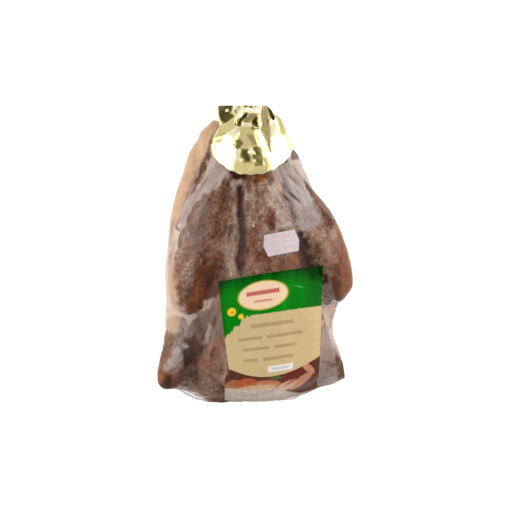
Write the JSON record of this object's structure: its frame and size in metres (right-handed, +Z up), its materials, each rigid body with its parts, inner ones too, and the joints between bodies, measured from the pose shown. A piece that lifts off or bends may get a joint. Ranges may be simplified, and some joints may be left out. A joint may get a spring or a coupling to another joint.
{
  "type": "smoked chicken",
  "caption": "Whole smoked hen in a clinging clear film bag, gold foil gathered round its leg ends, a wide paper label and a small price sticker over the breast.",
  "frame": {"origin": "middle of the object's bounding box, on the surface that the back rests on", "axes": "+Y from the neck end to the leg ends, +Z up through the breast, +X to the right of somebody who looks down on the breast with the leg ends away from them"},
  "size_m": [0.1781, 0.2662, 0.1028],
  "materials": {
    "bagged_hen": "dark smoked skin seen through glossy frosted film",
    "clear_film": "thin clear film, glossy, frosted where it stands off the skin",
    "smoked_skin": "smoked poultry skin, mottled dark red-brown, paler on the flank",
    "gold_foil": "gold-lacquered foil, crumpled, mirror-bright",
    "label_paper": "coated paper, satin, green and beige print",
    "sticker_paper": "off-white paper, matt"
  },
  "bodies": {
    "root": {"bag": "bagged_hen", "foil_cap": "gold_foil", "label": "label_paper", "price_sticker": "sticker_paper"}
  },
  "joints": []
}
